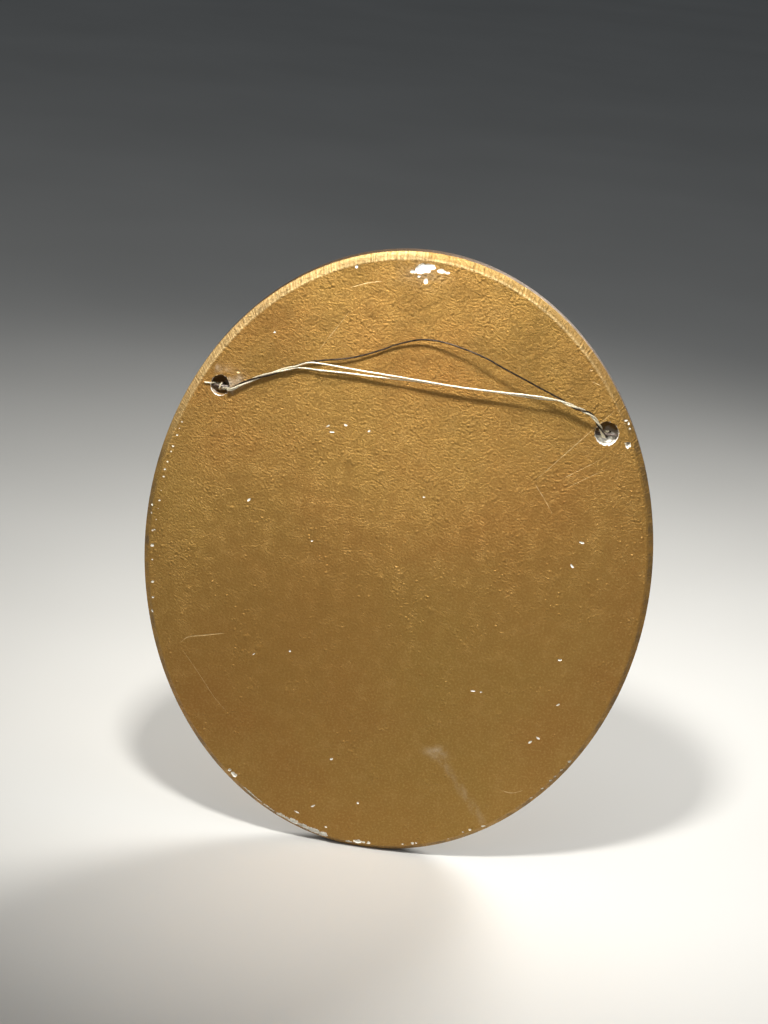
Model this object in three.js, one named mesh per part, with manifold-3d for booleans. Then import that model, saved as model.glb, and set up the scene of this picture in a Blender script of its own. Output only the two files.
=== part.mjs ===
import * as THREE from "three";
import { mergeVertices } from "three/addons/utils/BufferGeometryUtils.js";
import Module from "manifold-3d";

// An oval chalkware wall plaque, modelled so that its back can be seen and hung.
// One plaster casting carries a moulded rim and a low relief of wild roses on the front.
// Two round sockets in the flat back each have a steel wire cast across them, and a
// three-strand hanging wire is twisted round those two cross wires.
// Sizes are in millimetres. The origin is the middle of the back face. +Y leaves the back,
// towards the wall, +Z is up, and the relief faces -Y.

// The casting
const WIDTH = 254;
const HEIGHT = 318;
const BEVEL_WIDTH = 3;
const BEVEL_DEPTH = 2.6;
const SIDE_DEPTH = 7;
const EDGE_DEPTH = 18;
const EDGE_ROUND = 9;
const FIELD_DEPTH = 14;
const FIELD_BED = 12.5;
const OVAL_SEGMENTS = 68;
const EDGE_STEPS = 4;

// The rim moulding, as insets from the outer wall and depths from the back face
const FILLET_INSET = 10.4;
const BEAD_START = 11;
const BEAD_END = 19;
const BEAD_DEPTH = 20.4;
const BEAD_STEPS = 6;
const GROOVE_DEPTH = 17;
const COVE_DEPTH = 16;
const COVE_INSET = 23;
const FIELD_INSET = 26;

// The two sockets in the back
const SOCKET_X = 94.7;
const SOCKET_Z = 81.7;
const LEFT_SOCKET = { side: 1, mouth: 9.8, floor: 9.5 };
const RIGHT_SOCKET = { side: -1, mouth: 11.8, floor: 11.2 };
const SOCKET_DEPTH = 7;
const SOCKET_CHAMFER = 0.5;
const SOCKET_SECTORS = 20;

// The wires
const CROSS_WIRE = 1.6;
const CROSS_WIRE_EMBED = 7;
const CROSS_WIRE_DEPTH = 3.2;
const CROSS_WIRE_DROP = 1.2;
const PALE_WIRE = 0.85;
const DARK_WIRE = 0.9;
const TWIST = 2;
const EYE_WIRE = 1.5;
const GAP = 0.35;
const WIRE_SIDES = 8;
const WIRE_STEP = 3;
const EYE_STEPS = 10;
const TAIL_STEPS = 6;

// The roses: middle, radius and the direction of the first petal in degrees
const ROSES = [
  { x: 6, z: 34, radius: 48, turn: 100 },
  { x: -44, z: -34, radius: 38, turn: 68 },
  { x: 42, z: -48, radius: 34, turn: 22 },
];
const PETALS = 5;
const PETAL_WIDTH = 1.2;
const PETAL_NOTCH = 0.12;
const PETAL_BASE = 3.4;
const PETAL_CUP = 4;
const PETAL_LEAN = 1.9;
const PETAL_CROWN = 1.4;
const HEART_RADIUS = 0.17;
const HEART_RISE = 3.4;
const HEART_BASE = 3;

// The leaves: where the stalk meets them, direction in degrees, length and width
const LEAVES = [
  { x: -12, z: 62, turn: 122, length: 58, width: 27 },
  { x: 26, z: 64, turn: 58, length: 52, width: 25 },
  { x: 42, z: 28, turn: 8, length: 52, width: 24 },
  { x: -30, z: 26, turn: 160, length: 57, width: 25 },
  { x: -66, z: -22, turn: 145, length: 36, width: 18 },
  { x: -58, z: -52, turn: 254, length: 44, width: 21 },
  { x: -14, z: -52, turn: 258, length: 56, width: 23 },
  { x: 16, z: -70, turn: 286, length: 48, width: 21 },
  { x: 58, z: -64, turn: 279, length: 37, width: 19 },
  { x: 62, z: -34, turn: 24, length: 38, width: 19 },
];
const LEAF_EDGE = 0.6;
const LEAF_CREST = 3.2;
const LEAF_TAPER = 0.35;

// The buds and the stalks
const BUDS = [
  { x: 66, z: 78, turn: 50, length: 24, width: 14 },
  { x: -64, z: 69, turn: 128, length: 24, width: 14 },
];
const BUD_RISE = 6;
const STALK_WIDTH = 4.4;
const STALK_HEIGHT = 0.9;
const STALK_SIDES = 6;
const STALK_STEPS = 5;
const STALKS = [
  [[4, -6], [7, -48], [6, -84], [2, -118]],
  [[-34, -60], [-20, -84], [-8, -102], [0, -114]],
  [[34, -70], [24, -90], [12, -104], [5, -114]],
  [[34, 54], [50, 60], [60, 70]],
  [[-26, 50], [-46, 54], [-59, 62]],
];

// How the raised pieces are cut into facets, and how far they reach into the field
const SINK = 2;
const FIELD_SEGMENTS = 16;
const PETAL_SECTORS = 12;
const LEAF_SECTORS = 12;
const ROUND_SECTORS = 10;
const FACET_RINGS = 3;
const MERGE_DISTANCE = 1e-4;

const half = { x: WIDTH / 2, z: HEIGHT / 2 };
const wasm = await Module();
wasm.setup();

const plaster = new THREE.MeshStandardMaterial({ color: 0xa67c3e, roughness: 0.45, metalness: 0.6 });
const steel = new THREE.MeshStandardMaterial({ color: 0x6b6156, roughness: 0.5, metalness: 0.9 });
const paleMetal = new THREE.MeshStandardMaterial({ color: 0xcdbf9d, roughness: 0.35, metalness: 0.9 });
const darkMetal = new THREE.MeshStandardMaterial({ color: 0x35281c, roughness: 0.5, metalness: 0.8 });

// A closed geometry as a solid that can be joined and cut
function toSolid(geometry) {
  const bare = geometry.clone();
  bare.deleteAttribute("normal");
  bare.deleteAttribute("uv");
  const merged = mergeVertices(bare, MERGE_DISTANCE);
  return new wasm.Manifold(new wasm.Mesh({
    numProp: 3,
    vertProperties: new Float32Array(merged.attributes.position.array),
    triVerts: new Uint32Array(merged.index.array),
  }));
}

// A solid as a named mesh
function toMesh(name, solid, material) {
  const { vertProperties, triVerts } = solid.getMesh();
  const geometry = new THREE.BufferGeometry();
  geometry.setAttribute("position", new THREE.BufferAttribute(vertProperties, 3));
  geometry.setIndex(new THREE.BufferAttribute(triVerts, 1));
  geometry.computeVertexNormals();
  const mesh = new THREE.Mesh(geometry, material);
  mesh.name = name;
  return mesh;
}

// Points on a quarter of a circle or an oval, given as inset and depth
function quarterRound(from, to, corner, steps) {
  const points = [];
  for (let step = 0; step <= steps; step += 1) {
    const angle = (Math.PI / 2) * (step / steps);
    points.push([
      corner[0] + (from[0] - corner[0]) * Math.cos(angle) + (to[0] - corner[0]) * Math.sin(angle),
      corner[1] + (from[1] - corner[1]) * Math.cos(angle) + (to[1] - corner[1]) * Math.sin(angle),
    ]);
  }
  return points;
}

// The half-round bead of the rim
function beadPoints(steps) {
  const points = [];
  for (let step = 0; step <= steps; step += 1) {
    const angle = Math.PI * (step / steps);
    const middle = (BEAD_START + BEAD_END) / 2;
    points.push([
      middle + ((BEAD_END - BEAD_START) / 2) * Math.cos(angle),
      GROOVE_DEPTH + (BEAD_DEPTH - GROOVE_DEPTH) * Math.sin(angle),
    ]);
  }
  return points;
}

// The section of the casting from the middle of the front, over the rim, to the back
function castingSection() {
  const innerFront = [
    [half.x, FIELD_BED],
    [FIELD_INSET, FIELD_BED],
    [COVE_INSET, FIELD_DEPTH],
    [BEAD_END + 0.6, COVE_DEPTH],
  ];
  const outerFront = quarterRound(
    [EDGE_ROUND, EDGE_DEPTH],
    [0, SIDE_DEPTH],
    [EDGE_ROUND, SIDE_DEPTH],
    EDGE_STEPS,
  );
  return [
    ...innerFront,
    ...beadPoints(BEAD_STEPS),
    [FILLET_INSET, EDGE_DEPTH],
    ...outerFront,
    [0, BEVEL_DEPTH],
    [BEVEL_WIDTH, 0],
    [half.x, 0],
  ];
}

// A section turned into an oval body: the inner ovals keep the same inset all the way round
function ovalBody(section) {
  const points = section.map(([inset, depth]) => new THREE.Vector2(half.x - inset, -depth));
  const body = new THREE.LatheGeometry(points, OVAL_SEGMENTS);
  const position = body.attributes.position;
  const pointsPerTurn = points.length;
  for (let index = 0; index < position.count; index += 1) {
    const turn = 2 * Math.PI * (Math.floor(index / pointsPerTurn) / OVAL_SEGMENTS);
    position.setZ(index, position.getZ(index) + (half.z - half.x) * Math.cos(turn));
  }
  return body;
}

// The flat field inside the rim, a thin oval slab bedded in the casting
function fieldSlab() {
  const outline = new THREE.Shape();
  const inset = (COVE_INSET + BEAD_END) / 2;
  outline.absellipse(0, 0, half.x - inset, half.z - inset, 0, 2 * Math.PI);
  const slab = new THREE.ExtrudeGeometry(outline, {
    depth: FIELD_DEPTH / 2,
    bevelEnabled: false,
    curveSegments: FIELD_SEGMENTS,
  });
  slab.rotateX(Math.PI / 2);
  slab.translate(0, -FIELD_DEPTH / 2, 0);
  return toSolid(slab);
}

// A raised piece with a flat underside sunk in the field. Its unit disc (across, along) is
// laid out by plan() and lifted by height(), and place() sets it on the field.
function raisedPiece(sectors, plan, height, place) {
  const piece = new THREE.SphereGeometry(1, sectors, FACET_RINGS * 2);
  const position = piece.attributes.position;
  for (let index = 0; index < position.count; index += 1) {
    const across = position.getX(index);
    const along = position.getZ(index);
    const lift = -position.getY(index);
    const spot = place(plan(across, along));
    const rise = lift < -MERGE_DISTANCE ? -SINK : height(across, along, Math.max(lift, 0));
    position.setXYZ(index, spot[0], -FIELD_DEPTH - rise, spot[1]);
  }
  return toSolid(piece);
}

// Sets a piece that points along its own second axis at a spot on the field, turned
function placer(x, z, degrees) {
  const angle = THREE.MathUtils.degToRad(degrees);
  return ([side, forward]) => [
    x + side * Math.sin(angle) + forward * Math.cos(angle),
    z - side * Math.cos(angle) + forward * Math.sin(angle),
  ];
}

// One petal: narrow at the heart, notched at the tip, hollow in the middle
function petal(rose, degrees) {
  const width = rose.radius * PETAL_WIDTH;
  const plan = (across, along) => {
    const notch = PETAL_NOTCH * rose.radius * Math.max(along, 0) * Math.exp(-((across / 0.35) ** 2));
    return [
      (across * width * (0.7 + 0.3 * along)) / 2,
      ((along + 1) / 2) * rose.radius - notch,
    ];
  };
  const height = (across, along, lift) => {
    const outward = (along + 1) / 2;
    const cup = PETAL_CUP * (0.55 * across ** 2 + 0.45 * outward ** 2);
    return PETAL_BASE + cup + PETAL_LEAN * across + PETAL_CROWN * lift;
  };
  return raisedPiece(PETAL_SECTORS, plan, height, placer(rose.x, rose.z, degrees));
}

// The heart of a rose, a low dome
function heart(rose) {
  const radius = rose.radius * HEART_RADIUS;
  const plan = (across, along) => [across * radius, along * radius];
  const height = (across, along, lift) => HEART_BASE + HEART_RISE * lift;
  return raisedPiece(ROUND_SECTORS, plan, height, placer(rose.x, rose.z, rose.turn));
}

// A leaf: pointed at both ends, with a valley down its middle
function leaf({ x, z, turn, length, width }) {
  const waist = (along) => Math.sqrt(Math.max(1 - along ** 2, 0));
  const plan = (across, along) => [
    (across * waist(along) * width) / 2,
    ((along + 1) / 2) * length,
  ];
  const height = (across, along) => {
    const share = Math.min(Math.abs(across) / Math.max(waist(along), 0.01), 1);
    const crest = LEAF_CREST * Math.sin(Math.PI * (0.25 + 0.75 * share));
    return LEAF_EDGE + crest * (1 - LEAF_TAPER * along ** 2);
  };
  return raisedPiece(LEAF_SECTORS, plan, height, placer(x, z, turn));
}

// A bud, egg-shaped and pointed
function bud({ x, z, turn, length, width }) {
  const plan = (across, along) => [
    (across * width * (1 - 0.35 * along)) / 2,
    ((along + 1) / 2) * length - length / 3,
  ];
  const height = (across, along, lift) => BUD_RISE * lift;
  return raisedPiece(ROUND_SECTORS, plan, height, placer(x, z, turn));
}

// A round bar along a curve through hand-set points, with flat ends
function bar(points, width, sides, steps) {
  const path = new THREE.CatmullRomCurve3(points.map(([x, y, z]) => new THREE.Vector3(x, y, z)));
  const section = new THREE.Shape();
  for (let side = 0; side < sides; side += 1) {
    const angle = (2 * Math.PI * side) / sides;
    const x = (width / 2) * Math.cos(angle);
    const y = (width / 2) * Math.sin(angle);
    if (side === 0) section.moveTo(x, y);
    else section.lineTo(x, y);
  }
  section.closePath();
  const count = steps ?? Math.ceil(path.getLength() / (WIRE_STEP * width));
  return toSolid(new THREE.ExtrudeGeometry(section, {
    steps: count,
    bevelEnabled: false,
    extrudePath: path,
  }));
}

// A stalk, half sunk in the field
function stalk(route) {
  const points = route.map(([x, z]) => [x, -FIELD_DEPTH - STALK_HEIGHT, z]);
  return bar(points, STALK_WIDTH, STALK_SIDES, STALK_STEPS);
}

// A socket with a small chamfer at its mouth, as the tool that cuts it out of the back
function socketTool({ side, mouth, floor }) {
  const section = [
    [0, -SOCKET_DEPTH],
    [floor / 2, -SOCKET_DEPTH],
    [mouth / 2, -SOCKET_CHAMFER],
    [mouth / 2 + SOCKET_CHAMFER, 0],
    [mouth / 2 + SOCKET_CHAMFER * 3, SOCKET_CHAMFER * 2],
    [0, SOCKET_CHAMFER * 2],
  ];
  const points = section.map(([radius, depth]) => new THREE.Vector2(radius, depth));
  const tool = new THREE.LatheGeometry(points, SOCKET_SECTORS);
  tool.translate(side * SOCKET_X, 0, SOCKET_Z);
  return toSolid(tool);
}

// The wire cast across a socket, or with extra width the hole that it lies in
function crossWire({ side, mouth }, extra) {
  const length = mouth + 2 * CROSS_WIRE_EMBED + extra;
  const wire = new THREE.CylinderGeometry(
    (CROSS_WIRE + extra) / 2,
    (CROSS_WIRE + extra) / 2,
    length,
    WIRE_SIDES,
  );
  wire.rotateZ(Math.PI / 2);
  wire.translate(side * SOCKET_X, -CROSS_WIRE_DEPTH, SOCKET_Z - CROSS_WIRE_DROP);
  return toSolid(wire);
}

// The eye that the twisted wires make round a cross wire
function eye(x) {
  const ring = new THREE.TorusGeometry(
    (CROSS_WIRE + EYE_WIRE) / 2 + GAP,
    EYE_WIRE / 2,
    WIRE_SIDES,
    EYE_STEPS,
  );
  ring.rotateY(Math.PI / 2);
  ring.translate(x, -CROSS_WIRE_DEPTH, SOCKET_Z - CROSS_WIRE_DROP);
  return toSolid(ring);
}

// The routes of the wires, read off the photograph of the back: x, stand-off, z
const LEFT_EYE_X = 92.5;
const RIGHT_EYE_X = -93.0;
const LEFT_TWIST = [
  [92.3, -0.7, 80.5],
  [90.7, 1.6, 80.6],
  [88.2, 2.3, 81.4],
  [84.5, 1.8, 83.8],
  [77.9, 1.7, 87.6],
  [70.8, 1.7, 90.8],
  [63.7, 1.9, 94.1],
  [58.0, 2.1, 96.4],
];
const RIGHT_TWIST = [
  [-70.4, 5.4, 96.9],
  [-75.9, 5.5, 94.9],
  [-80.4, 5.6, 93.6],
  [-84.6, 5.6, 92.3],
  [-87.3, 5.0, 90.3],
  [-90.1, 3.2, 86.4],
  [-91.8, 0.8, 83.3],
  [-92.6, -1.2, 80.5],
];
const LEFT_TAIL = [
  [102.6, 0.9, 82.3],
  [99.9, 0.9, 82.2],
  [98.3, -0.4, 81.2],
  [97.6, -1.4, 80.7],
  [95.0, -1.7, 80.6],
  [92.8, -1.4, 80.5],
];
const UPPER_PALE = [
  [57.3, 2.9, 97.1],
  [52.8, 3.1, 99.2],
  [46.9, 3.1, 99.6],
  [34.4, 3.2, 99.0],
  [21.9, 3.7, 98.5],
  [9.4, 4.3, 98.2],
  [-2.0, 4.7, 97.8],
  [-21.6, 5.3, 97.1],
  [-40.9, 5.5, 97.2],
  [-55.7, 5.7, 97.5],
  [-64.0, 6.0, 97.4],
  [-69.5, 6.2, 96.9],
];
const LOWER_PALE = [
  [57.0, 2.1, 95.7],
  [54.1, 1.9, 96.0],
  [46.7, 2.0, 95.9],
  [34.2, 2.5, 96.3],
  [21.7, 2.9, 96.4],
  [9.3, 3.3, 96.7],
  [-2.2, 3.6, 96.9],
  [-21.6, 4.1, 96.7],
  [-41.0, 4.4, 96.6],
  [-55.8, 4.8, 96.3],
  [-64.0, 4.7, 96.3],
  [-69.5, 4.6, 96.4],
];
const DARK_BOW = [
  [57.3, 1.4, 97.3],
  [55.1, 1.5, 98.3],
  [47.0, 1.8, 100.7],
  [34.9, 2.0, 103.3],
  [26.0, 1.7, 106.2],
  [17.1, 1.4, 110.1],
  [11.2, 1.6, 113.2],
  [0.2, 2.6, 117.3],
  [-10.1, 3.8, 117.9],
  [-21.1, 5.0, 116.2],
  [-32.3, 6.4, 113.3],
  [-41.5, 7.2, 109.6],
  [-54.8, 6.6, 104.1],
  [-66.0, 5.7, 99.3],
  [-69.9, 5.4, 98.1],
];

// The left end of the wires: the twist, its eye and the cut end that lies out on the back
function leftEnd() {
  const twist = bar(LEFT_TWIST, TWIST, WIRE_SIDES);
  const tail = bar(LEFT_TAIL, PALE_WIRE, WIRE_SIDES, TAIL_STEPS);
  return twist.add(eye(LEFT_EYE_X)).add(tail);
}

// The casting: rim and field, joined with everything raised on the field, then cut from behind
function casting() {
  const raised = [];
  for (const rose of ROSES) {
    for (let count = 0; count < PETALS; count += 1) {
      raised.push(petal(rose, rose.turn + (360 / PETALS) * count));
    }
    raised.push(heart(rose));
  }
  raised.push(...LEAVES.map(leaf), ...BUDS.map(bud), ...STALKS.map(stalk));
  let body = toSolid(ovalBody(castingSection())).add(fieldSlab());
  for (const piece of raised) body = body.add(piece);
  for (const socket of [LEFT_SOCKET, RIGHT_SOCKET]) {
    body = body.subtract(socketTool(socket)).subtract(crossWire(socket, 2 * GAP));
  }
  return body;
}

const plaque = new THREE.Group();
plaque.add(
  toMesh("plaque_casting", casting(), plaster),
  toMesh("left_cross_wire", crossWire(LEFT_SOCKET, 0), steel),
  toMesh("right_cross_wire", crossWire(RIGHT_SOCKET, 0), steel),
  toMesh("left_twist", leftEnd(), paleMetal),
  toMesh("right_twist", bar(RIGHT_TWIST, TWIST, WIRE_SIDES).add(eye(RIGHT_EYE_X)), paleMetal),
  toMesh("upper_pale_wire", bar(UPPER_PALE, PALE_WIRE, WIRE_SIDES), paleMetal),
  toMesh("lower_pale_wire", bar(LOWER_PALE, PALE_WIRE, WIRE_SIDES), paleMetal),
  toMesh("dark_wire", bar(DARK_BOW, DARK_WIRE, WIRE_SIDES), darkMetal),
);

export default plaque;
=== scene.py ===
# %% [markdown]
# # An oval plaster plaque, seen from behind
#
# The plaque is one plaster casting painted bronze. Its relief faces away from the camera, and
# the camera sees the back: a flat oval with two sockets, a hanging wire and years of knocks.
# The plain solids that carry the physics are loaded first. They fix every size and place, so
# each piece made here only has to look right where a plain solid already stands.

# %% Load the plain solids
import math
import random

import bmesh
import bpy
import numpy as np
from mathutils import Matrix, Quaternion, Vector


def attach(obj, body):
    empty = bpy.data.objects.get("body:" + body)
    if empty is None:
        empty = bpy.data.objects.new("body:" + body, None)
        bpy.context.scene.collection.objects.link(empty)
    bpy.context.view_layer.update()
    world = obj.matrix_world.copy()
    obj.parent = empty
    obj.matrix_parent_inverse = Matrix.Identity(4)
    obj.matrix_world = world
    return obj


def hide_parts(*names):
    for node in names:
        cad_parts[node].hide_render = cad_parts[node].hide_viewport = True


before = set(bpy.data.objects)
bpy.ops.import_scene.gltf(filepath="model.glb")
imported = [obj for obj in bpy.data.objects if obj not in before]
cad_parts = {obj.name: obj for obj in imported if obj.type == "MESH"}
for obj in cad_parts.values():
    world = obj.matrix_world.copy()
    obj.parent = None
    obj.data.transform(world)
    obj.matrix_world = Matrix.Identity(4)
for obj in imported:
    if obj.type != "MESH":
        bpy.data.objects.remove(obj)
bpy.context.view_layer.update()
MM = 0.001
print("plain solids:", sorted(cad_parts))

# %% [markdown]
# ## The camera
#
# A camera could be aimed by eye, but this one was worked out: the oval outline and the two
# sockets in the photograph fix where it stood. It looks down on the back by about twenty
# degrees through a long lens, and it is held six degrees off level, so the oval leans.

# %% Camera
CAMERA_PLACE = (-0.0502, 1.0206, 0.3837)
VIEW_DIRECTION = Vector((0.0542, -0.9427, -0.3292))
VIEW_ROLL = math.radians(6.26)
LENS_MM = 77
SENSOR_MM = 36

camera_data = bpy.data.cameras.new("camera")
camera_data.lens = LENS_MM
camera_data.sensor_width = SENSOR_MM
camera = bpy.data.objects.new("camera", camera_data)
bpy.context.scene.collection.objects.link(camera)
camera.location = CAMERA_PLACE
camera.rotation_mode = "QUATERNION"
level_view = VIEW_DIRECTION.to_track_quat("-Z", "Y")
camera.rotation_quaternion = level_view @ Quaternion((0, 0, 1), VIEW_ROLL)
bpy.context.scene.camera = camera
print("camera stands", round(camera.location.length, 3), "m from the middle of the back")

# %% [markdown]
# ## The hanging wire
#
# Three wires hang the plaque: two pale ones of fine strands and a single dark one. Each
# hooks round a steel wire in the left socket, winds round the other two, runs free across the
# back, winds again and hooks into the right socket. One pale wire's cut end sticks out on the
# back beside the left socket. One bent tube would do from afar, but the twists catch the light,
# so each wire gets a route of its own from end to end. The routes are the ones that the plain
# solids follow, in millimetres: across, off the back, up.

# %% Routes of the wires
LEFT_TWIST = [
    (92.3, -0.7, 80.5), (90.7, 1.6, 80.6), (88.2, 2.3, 81.4), (84.5, 1.8, 83.8),
    (77.9, 1.7, 87.6), (70.8, 1.7, 90.8), (63.7, 1.9, 94.1), (58.0, 2.1, 96.4),
]
RIGHT_TWIST = [
    (-70.4, 5.4, 96.9), (-75.9, 5.5, 94.9), (-80.4, 5.6, 93.6), (-84.6, 5.6, 92.3),
    (-87.3, 5.0, 90.3), (-90.1, 3.2, 86.4), (-91.8, 0.8, 83.3), (-92.6, -1.2, 80.5),
]
UPPER_PALE = [
    (52.8, 3.1, 99.2), (46.9, 3.1, 99.6), (34.4, 3.2, 99.0), (21.9, 3.7, 98.5),
    (9.4, 4.3, 98.2), (-2.0, 4.7, 97.8), (-21.6, 5.3, 97.1), (-40.9, 5.5, 97.2),
    (-55.7, 5.7, 97.5), (-64.0, 6.0, 97.4),
]
LOWER_PALE = [
    (54.1, 1.9, 96.0), (46.7, 2.0, 95.9), (34.2, 2.5, 96.3), (21.7, 2.9, 96.4),
    (9.3, 3.3, 96.7), (-2.2, 3.6, 96.9), (-21.6, 4.1, 96.7), (-41.0, 4.4, 96.6),
    (-55.8, 4.8, 96.3), (-64.0, 4.7, 96.3),
]
LEFT_TAIL = [
    (102.6, 0.6, 82.3), (100.2, 0.7, 82.3), (98.9, -0.9, 82.0), (98.3, -2.8, 81.6),
    (97.2, -4.4, 80.9),
]
DARK_BOW = [
    (55.1, 1.5, 98.3), (47.0, 1.8, 100.7), (34.9, 2.0, 103.3), (26.0, 1.7, 106.2),
    (17.1, 1.4, 110.1), (11.2, 1.6, 113.2), (0.2, 2.6, 117.3), (-10.1, 3.8, 117.9),
    (-21.1, 5.0, 116.2), (-32.3, 6.4, 113.3), (-41.5, 7.2, 109.6), (-54.8, 6.6, 104.1),
    (-66.0, 5.7, 99.3),
]
STEP = 0.6
CURVE_PARTS = 24


def even_points(points, step=STEP):
    """Points an even step apart on a smooth curve through the given ones."""
    knots = [Vector(point) for point in points]
    knots = [2 * knots[0] - knots[1], *knots, 2 * knots[-1] - knots[-2]]
    fine = []
    for a, b, c, d in zip(knots, knots[1:], knots[2:], knots[3:]):
        for part in range(CURVE_PARTS):
            t = part / CURVE_PARTS
            bend = (2 * a - 5 * b + 4 * c - d) * t * t + (3 * b - a - 3 * c + d) * t**3
            fine.append((2 * b + (c - a) * t + bend) / 2)
    fine.append(knots[-2])
    even = [fine[0]]
    for point in fine[1:]:
        if (point - even[-1]).length >= step:
            even.append(point)
    return even


print("free run of the dark wire:", len(even_points(DARK_BOW)), "points")

# %% Winding the wires round each other
PALE_WIDTH = 0.85
DARK_WIDTH = 0.9
TWIST_RADIUS = 0.52
TWIST_STEP = 0.9
LEFT_PITCH = 30
RIGHT_PITCH = 14
HOOK_RADIUS = 1.5
HOOK_START = 0.3
HOOK_PITCH = 2.6
HOOK_PARTS = 14
RIGHT_TURNS = 0.8
CROSS_DEPTH = -3.2
CROSS_HEIGHT = 80.5
LEFT_HOOK_X = 92.6
RIGHT_HOOK_X = -93.4
LANE = 0.95


def wound(route, pitch, angle, free_end_first):
    """Points that wind round a route. The angle, off the back to up, is at the free end."""
    middle = even_points(route, TWIST_STEP)
    laid = []
    for index, point in enumerate(middle):
        ahead = middle[min(index + 1, len(middle) - 1)]
        behind = middle[max(index - 1, 0)]
        along = (ahead - behind).normalized()
        outward = (Vector((0, 1, 0)) - along * along.y).normalized()
        upward = along.cross(outward)
        if upward.z < 0:
            upward.negate()
        steps = index if free_end_first else len(middle) - 1 - index
        turn = math.radians(angle) + 2 * math.pi * steps * TWIST_STEP / pitch
        laid.append(point + TWIST_RADIUS * (outward * math.cos(turn) + upward * math.sin(turn)))
    return laid


def hook(x, lane, turn_count):
    """The turns of one wire round a cross wire, from the front of it down and round behind."""
    points = []
    steps = round(HOOK_PARTS * turn_count)
    for part in range(steps + 1):
        turn = HOOK_START + (2 * math.pi * turn_count - HOOK_START) * part / steps
        y = CROSS_DEPTH + HOOK_RADIUS * math.cos(turn)
        z = CROSS_HEIGHT - HOOK_RADIUS * math.sin(turn)
        wander = math.copysign(HOOK_PITCH * turn / (2 * math.pi), x)
        points.append(Vector((x + lane * LANE + wander, y, z)))
    return points


def whole_wire(free_run, lane, left_angle, right_angle, turn_count, tail=()):
    """One wire from its hook in the left socket to its hook in the right one."""
    left = wound(LEFT_TWIST, LEFT_PITCH, left_angle, False)[3:]
    right = wound(RIGHT_TWIST, RIGHT_PITCH, right_angle, True)[:-3]
    start = hook(LEFT_HOOK_X, lane, turn_count)[::-1]
    finish = hook(RIGHT_HOOK_X, lane, RIGHT_TURNS)
    run = [Vector(point) for point in free_run]
    route = [*tail, *start, *left, *run, *right, *finish]
    return [point * MM for point in even_points(route)]


def path_length(path):
    """The length of a path from point to point."""
    return sum((b - a).length for a, b in zip(path, path[1:]))


wire_paths = {
    "upper_pale_wire": whole_wire(UPPER_PALE, 1, 30, -30, 0.55, LEFT_TAIL),
    "lower_pale_wire": whole_wire(LOWER_PALE, 0, -90, 210, 1.6),
    "dark_wire": whole_wire(DARK_BOW, -1, 150, 90, 0.8),
}
for name, path in wire_paths.items():
    print(name, "is", round(path_length(path), 4), "m long")

# %% [markdown]
# A curve with a bevel is the quickest wire in Blender. A plain round bevel would look like
# plastic, so the pale wires get a lobed section that slowly turns along the curve, as fine
# strands laid round each other do. The dark wire is a single wire and stays round.

# %% Wires as meshes
LAY = 5.0
SECTION_POINTS = 20
PALE_LOBES = 5
LOBE_DEPTH = 0.09


def only(thing):
    """Makes one object the only selected and the active one."""
    bpy.ops.object.select_all(action="DESELECT")
    thing.select_set(True)
    bpy.context.view_layer.objects.active = thing


def new_curve(name, path):
    """A curve with closed ends through points given in metres."""
    data = bpy.data.curves.new(name, "CURVE")
    data.dimensions = "3D"
    data.use_fill_caps = True
    spline = data.splines.new("POLY")
    spline.points.add(len(path) - 1)
    for point, place in zip(spline.points, path):
        point.co = (*place, 1)
    curve = bpy.data.objects.new(name, data)
    bpy.context.scene.collection.objects.link(curve)
    return curve


def as_mesh(curve):
    """Turns a curve into a mesh and gives back the object."""
    only(curve)
    bpy.ops.object.convert(target="MESH")
    return bpy.context.object


def lobed_section(name, width, lobes, depth):
    """A closed outline with a few shallow lobes, for the bevel of a wire."""
    data = bpy.data.curves.new(name, "CURVE")
    data.dimensions = "2D"
    spline = data.splines.new("POLY")
    spline.points.add(SECTION_POINTS - 1)
    for index, point in enumerate(spline.points):
        angle = 2 * math.pi * index / SECTION_POINTS
        radius = width / 2 * (1 - depth + depth * math.cos(lobes * angle)) * MM
        point.co = (radius * math.cos(angle), radius * math.sin(angle), 0, 1)
    spline.use_cyclic_u = True
    section = bpy.data.objects.new(name, data)
    bpy.context.scene.collection.objects.link(section)
    return section


def wire_piece(name, path, section):
    """Sweeps a section along a path, turning it a little at each point, and makes it a mesh."""
    wire = new_curve(name, path)
    wire.data.twist_mode = "MINIMUM"
    wire.data.bevel_mode = "OBJECT"
    wire.data.bevel_object = section
    for index, point in enumerate(wire.data.splines[0].points):
        point.tilt = 2 * math.pi * index * STEP / LAY
    wire = as_mesh(wire)
    bpy.ops.object.shade_smooth()
    return wire


stranded = lobed_section("stranded_section", PALE_WIDTH, PALE_LOBES, LOBE_DEPTH)
single = lobed_section("single_section", DARK_WIDTH, PALE_LOBES, 0.0)
wires = {}
for name, path in wire_paths.items():
    wires[name] = wire_piece("hung_" + name, path, single if name == "dark_wire" else stranded)
for section in (stranded, single):
    bpy.data.objects.remove(section)

REPLACED = {
    "upper_pale_wire": ["upper_pale_wire"],
    "lower_pale_wire": ["lower_pale_wire", "left_twist", "right_twist"],
    "dark_wire": ["dark_wire"],
}
for name, wire in wires.items():
    path = wire_paths[name]
    length = path_length(path)
    width = DARK_WIDTH if name == "dark_wire" else PALE_WIDTH
    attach(wire, "root")
    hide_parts(*REPLACED[name])
    print(wire.name, "has", len(wire.data.polygons), "faces")

# %% [markdown]
# ## The casting
#
# The body is a turned shape pulled into an oval. It could be lathed, but a lathe would make the
# rim thicker at the ends of the oval. Instead a small oval is drawn at the middle of the back
# and extruded ring by ring: out across the back, round the edge, up the side and over the rim.
# Each ring is set to an inset from the outer wall, so the moulding keeps its width all round.

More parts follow.
